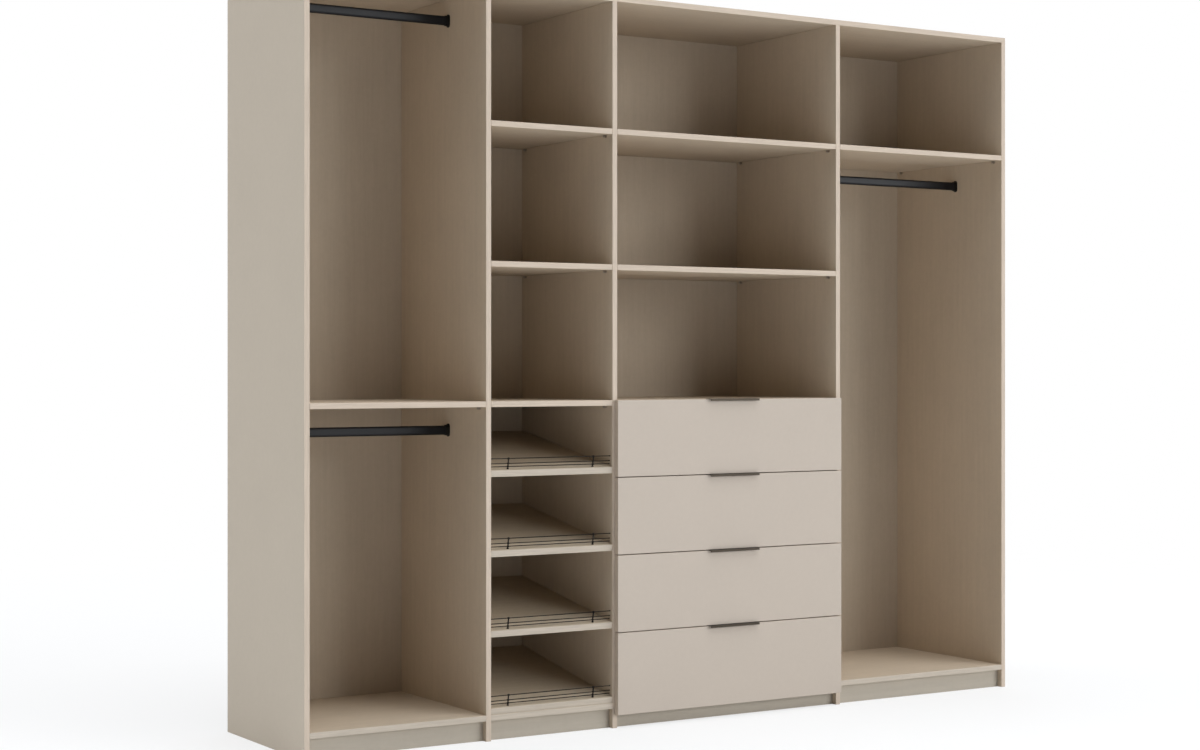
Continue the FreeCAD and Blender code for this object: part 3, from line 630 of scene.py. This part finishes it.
def cross_screw(head_radius, head_height, shank_radius, shank_length):
    """The mesh of a screw that looks along +Z, with the top of its head at the origin."""
    work = bmesh.new()
    under = -head_height
    tip = under - shank_length
    top = turned(work, (
        (SHANK_POINT * shank_radius, tip), (shank_radius, tip + 2 * shank_radius), (shank_radius, under),
        (head_radius, under), (head_radius, HEAD_SHOULDER * under), (HEAD_FACE * head_radius, 0.0),
    ))
    work.faces.remove(next(face for face in work.faces if set(face.verts) == set(top)))
    arm = CROSS_ARM * head_radius
    slot = CROSS_SLOT * head_radius
    quarter = ((slot, slot), (slot, arm), (-slot, arm))
    turns = [Matrix.Rotation(turn * math.pi / 2, 2) for turn in range(4)]
    outline = [turn @ Vector(point) for turn in turns for point in quarter]
    rim = [work.verts.new((point.x, point.y, 0)) for point in outline]
    inner = [CROSS_TAPER * point for point in outline]
    floor_ring = [work.verts.new((point.x, point.y, CROSS_DEPTH * under)) for point in inner]
    for side in range(len(rim)):
        work.faces.new((rim[side - 1], rim[side], floor_ring[side], floor_ring[side - 1]))
    work.faces.new(floor_ring)
    borders = []
    for loop in (top, rim):
        borders += [work.edges.get((loop[side - 1], loop[side])) for side in range(len(loop))]
    bmesh.ops.triangle_fill(work, use_beauty=True, edges=borders)
    bmesh.ops.recalc_face_normals(work, faces=work.faces)
    mesh = bpy.data.meshes.new("screw")
    work.to_mesh(mesh)
    work.free()
    return mesh


def stamp(work, mesh, matrix):
    """Add a copy of a mesh, put in its place by a matrix."""
    first = len(work.verts)
    work.from_mesh(mesh)
    work.verts.ensure_lookup_table()
    bmesh.ops.transform(work, matrix=matrix, verts=work.verts[first:])


print("screw heads have a cross of", CROSS_ARM, "of their radius")

# %% [markdown]
# The screws of the top panel lie flush with it and are seen from above, so they get recessed heads
# in place of the model's plain ones. Their places are read from the model: each loose part of the
# node is one screw.

# %% Screws of the top panel
TOP_SCREW = {"head_radius": 0.005, "head_height": 0.003, "shank_radius": 0.003, "shank_length": 0.047}


def loose_parts(name):
    """The lowest and highest corner of each loose part of a node."""
    work = bmesh.new()
    work.from_mesh(nodes[name].data)
    bmesh.ops.remove_doubles(work, verts=work.verts, dist=SEAM)
    waiting = set(work.verts)
    parts = []
    while waiting:
        reached = [waiting.pop()]
        part = []
        while reached:
            vertex = reached.pop()
            part.append(vertex.co.copy())
            near = [edge.other_vert(vertex) for edge in vertex.link_edges]
            fresh = [other for other in near if other in waiting]
            waiting.difference_update(fresh)
            reached.extend(fresh)
        low = Vector([min(point[axis] for point in part) for axis in range(3)])
        high = Vector([max(point[axis] for point in part) for axis in range(3)])
        parts.append((low, high))
    work.free()
    return parts


top_screws = loose_parts("top_screws")
work = bmesh.new()
screw = cross_screw(**TOP_SCREW)
for low, high in top_screws:
    middle = (low + high) / 2
    stamp(work, screw, standing((middle.x, middle.y, high.z), (0, 0, 1)))
top_heads = make_piece(work, "top_screw_heads", zinc_finish, "carcass")
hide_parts("top_screws")
print("top screws:", len(top_screws))

# %% [markdown]
# The inside of a drawer is seen when it is pulled out: a box of lighter boards with rounded edges.
# In the model the boards of a box touch, so their corners can't be welded and beveled as one mesh.
# Here each board is made by itself, beveled, and then stamped into the box.

# %% Drawer boxes
DRAWER_NUMBERS = range(1, 5)
DRAWER_GREIGE = (0.56, 0.515, 0.445)
BOX_BOARD = 0.015
BOX_BOTTOM = 0.006
BOX_BOTTOM_LIFT = 0.010
BOX_SOFTNESS = 0.0012


def drawer_finish(name):
    """Drawer board, faced on all sides."""
    material, tree, shader = new_finish(name)
    place = place_on(tree)
    surface, fibres = melamine_face(tree, place, DRAWER_GREIGE, LEVEL_RUN, contrast=0.06)
    tree.links.new(surface, shader.inputs["Base Color"])
    melamine_gloss(tree, shader, fibres)
    return material


def soft_board(low, high):
    """The mesh of a board between two corners, with rounded edges."""
    work = bmesh.new()
    middle = Matrix.Translation((low + high) / 2)
    bmesh.ops.create_cube(work, size=1.0, matrix=middle @ Matrix.Diagonal((*(high - low), 1.0)))
    bmesh.ops.bevel(work, geom=work.edges[:], offset=BOX_SOFTNESS, segments=3, profile=0.5, affect="EDGES")
    mesh = bpy.data.meshes.new("board")
    work.to_mesh(mesh)
    work.free()
    return mesh


box_finish = drawer_finish("drawer_board")


def drawer_box(number):
    """Two sides, an inner front, a back and a bottom between them."""
    low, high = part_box(f"drawer_box_{number}")
    inner_low = low + Vector((BOX_BOARD, BOX_BOARD, BOX_BOTTOM_LIFT))
    inner_high = Vector((high.x - BOX_BOARD, high.y - BOX_BOARD, inner_low.z + BOX_BOTTOM))
    boards = (
        (low, Vector((inner_low.x, high.y, high.z))),
        (Vector((inner_high.x, low.y, low.z)), high),
        (Vector((inner_low.x, low.y, low.z)), Vector((inner_high.x, inner_low.y, high.z))),
        (Vector((inner_low.x, inner_high.y, low.z)), Vector((inner_high.x, high.y, high.z))),
        (inner_low, inner_high),
    )
    work = bmesh.new()
    for board_low, board_high in boards:
        stamp(work, soft_board(board_low, board_high), Matrix())
    box = make_piece(work, f"drawer_box_boards_{number}", box_finish, f"drawer_{number}")
    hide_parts(f"drawer_box_{number}")
    return box


for number in DRAWER_NUMBERS:
    print("boxed", drawer_box(number).name)

# %% [markdown]
# Four screws hold each front from inside the box, three hold each moving runner, and two small
# ones hold the edge pull on the top edge of the front. They all move with their drawer.

# %% Screws of the drawers
PAN_SCREW = {"head_radius": 0.0042, "head_height": 0.0022, "shank_radius": 0.002, "shank_length": 0.012}
FLAT_SCREW = {"head_radius": 0.0034, "head_height": 0.0014, "shank_radius": 0.0015, "shank_length": 0.008}
RUNNER_DEPTH = 0.0109
RUNNER_SHEET = 0.0015
RUNNER_SCREW_SHARES = (0.12, 0.5, 0.88)
FRONT_SCREW_INSET = Vector((0.11, 0.0, 0.045))
PULL_SCREW_INSET = 0.025
PULL_SCREW_FROM_REAR = 0.009
PULL_SCREW_PROUD = 0.0002


def drawer_screw_places(number):
    """Place and axis of the screws that hold the front and the runners of one drawer."""
    low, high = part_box(f"drawer_box_{number}")
    low_corner = low + FRONT_SCREW_INSET
    high_corner = high - FRONT_SCREW_INSET
    inside_y = low.y + BOX_BOARD
    places = [
        (Vector((x, inside_y, z)), Vector((0, 1, 0)))
        for x in (low_corner.x, high_corner.x) for z in (low_corner.z, high_corner.z)
    ]
    low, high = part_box(f"drawer_runners_{number}")
    web = RUNNER_DEPTH - RUNNER_SHEET
    middle_z = (low.z + high.z) / 2
    for share in RUNNER_SCREW_SHARES:
        y = low.y + share * (high.y - low.y)
        places.append((Vector((low.x + web, y, middle_z)), Vector((-1, 0, 0))))
        places.append((Vector((high.x - web, y, middle_z)), Vector((1, 0, 0))))
    return places


pan_screw = cross_screw(**PAN_SCREW)
flat_screw = cross_screw(**FLAT_SCREW)
for number in DRAWER_NUMBERS:
    work = bmesh.new()
    for place, axis in drawer_screw_places(number):
        stamp(work, pan_screw, standing(place + axis * PAN_SCREW["head_height"], axis))
    make_piece(work, f"drawer_screws_{number}", zinc_finish, f"drawer_{number}")
    work = bmesh.new()
    low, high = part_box(f"drawer_handle_{number}")
    for x in (low.x + PULL_SCREW_INSET, high.x - PULL_SCREW_INSET):
        head = Vector((x, high.y - PULL_SCREW_FROM_REAR, high.z + PULL_SCREW_PROUD))
        stamp(work, flat_screw, standing(head, (0, 0, 1)))
    make_piece(work, f"pull_screws_{number}", pull_finish, f"drawer_{number}")
print("screws in", len(DRAWER_NUMBERS), "drawers:", len(drawer_screw_places(1)), "each, and 2 in each pull")

# %% [markdown]
# The stage is a plain pale floor. A softbox lights what is near, so further away the floor would
# fade to grey. There it glows instead, for the camera and for reflections only, and the ground
# close to the closet stays a plain surface that takes its shadow.

# %% Floor and sky
FLOOR_HALF_WIDTH = 40.0
SHADOW_REACH = 3.0
NEAR_GLOW = 0.65
SKY_STRENGTH = 0.04
FLOOR_PALE = (0.9, 0.9, 0.9, 1.0)
WHITE = (1.0, 1.0, 1.0, 1.0)


def seen_directly(tree):
    """1 for rays from the camera, from gloss and through glass, else 0."""
    path = tree.nodes.new("ShaderNodeLightPath").outputs
    camera_or_gloss = calc(tree, "MAXIMUM", path["Is Camera Ray"], path["Is Glossy Ray"])
    return calc(tree, "MAXIMUM", camera_or_gloss, path["Is Transmission Ray"])


floor_mesh = bpy.data.meshes.new("studio_floor")
corners = [(-1, -1, 0), (1, -1, 0), (1, 1, 0), (-1, 1, 0)]
floor_mesh.from_pydata([[FLOOR_HALF_WIDTH * c for c in corner] for corner in corners], [], [(0, 1, 2, 3)])
floor = bpy.data.objects.new("studio_floor", floor_mesh)
scene.collection.objects.link(floor)

floor_finish = bpy.data.materials.new("pale_floor")
floor_finish.use_nodes = True
floor_tree = floor_finish.node_tree
floor_tree.nodes.clear()
place = place_on(floor_tree)
distance = add_node(floor_tree, "ShaderNodeVectorMath", {0: place}, operation="LENGTH").outputs["Value"]
far = add_node(
    floor_tree, "ShaderNodeMapRange",
    {"Value": distance, "From Min": SHADOW_REACH, "From Max": 2 * SHADOW_REACH, "To Min": NEAR_GLOW},
).outputs["Result"]
pale = add_node(floor_tree, "ShaderNodeBsdfDiffuse", {"Color": FLOOR_PALE}).outputs["BSDF"]
white_light = {"Color": WHITE, "Strength": 1.0}
glow = add_node(floor_tree, "ShaderNodeEmission", white_light).outputs["Emission"]
share = calc(floor_tree, "MULTIPLY", far, seen_directly(floor_tree))
mixed = add_node(floor_tree, "ShaderNodeMixShader", {"Fac": share, 1: pale, 2: glow}).outputs["Shader"]
add_node(floor_tree, "ShaderNodeOutputMaterial", {"Surface": mixed})
floor.data.materials.append(floor_finish)

world = bpy.data.worlds.new("studio_sky")
scene.world = world
world.use_nodes = True
sky_tree = world.node_tree
sky_tree.nodes.clear()
light = add_node(sky_tree, "ShaderNodeBackground", {"Color": WHITE, "Strength": SKY_STRENGTH})
white = add_node(sky_tree, "ShaderNodeBackground", white_light)
inputs = {"Fac": seen_directly(sky_tree), 1: light.outputs["Background"], 2: white.outputs["Background"]}
both = add_node(sky_tree, "ShaderNodeMixShader", inputs).outputs["Shader"]
add_node(sky_tree, "ShaderNodeOutputWorld", {"Surface": both})
print("floor plain to", SHADOW_REACH, "m, sky", SKY_STRENGTH)

# %% [markdown]
# Five softboxes light the closet, as they would in a studio. The key stands low to the right of the
# camera, so it reaches the left part of each bay's back and leaves the right walls in shade. A
# weaker one above it fills the fronts, one hangs overhead, and one on each side lights the outer
# panels. They are large and far away, so that the last bay gets about as much light as the first.

# %% Softboxes
AIM = Vector((0.0, 0.0, 1.1))
COOL_WHITE = (0.97, 1.0, 1.035)


def softbox(name, azimuth, elevation, distance, width, height, radiance):
    """A large soft lamp, aimed at the closet. Azimuth 0 is straight in front and grows to the right."""
    lamp = bpy.data.lights.new(name, "AREA")
    lamp.shape = "RECTANGLE"
    lamp.size = width
    lamp.size_y = height
    lamp.energy = radiance * math.pi * width * height
    lamp.color = COOL_WHITE
    lamp_object = bpy.data.objects.new(name, lamp)
    turn = math.radians(azimuth)
    rise = math.radians(elevation)
    ray = Vector((math.sin(turn) * math.cos(rise), -math.cos(turn) * math.cos(rise), math.sin(rise)))
    lamp_object.location = AIM + ray * distance
    lamp_object.rotation_euler = ray.to_track_quat("Z", "Y").to_euler()
    scene.collection.objects.link(lamp_object)
    print(name, "at", [round(c, 2) for c in lamp_object.location])


softbox("key_softbox", azimuth=38, elevation=11, distance=30, width=24, height=11, radiance=6.1)
softbox("overhead_softbox", azimuth=0, elevation=86, distance=30, width=24, height=34, radiance=3.9)
softbox("left_softbox", azimuth=-110, elevation=14, distance=28, width=26, height=13, radiance=3.3)
softbox("front_softbox", azimuth=36, elevation=40, distance=30, width=28, height=17, radiance=1.1)
softbox("right_softbox", azimuth=128, elevation=14, distance=28, width=28, height=13.6, radiance=0.7)
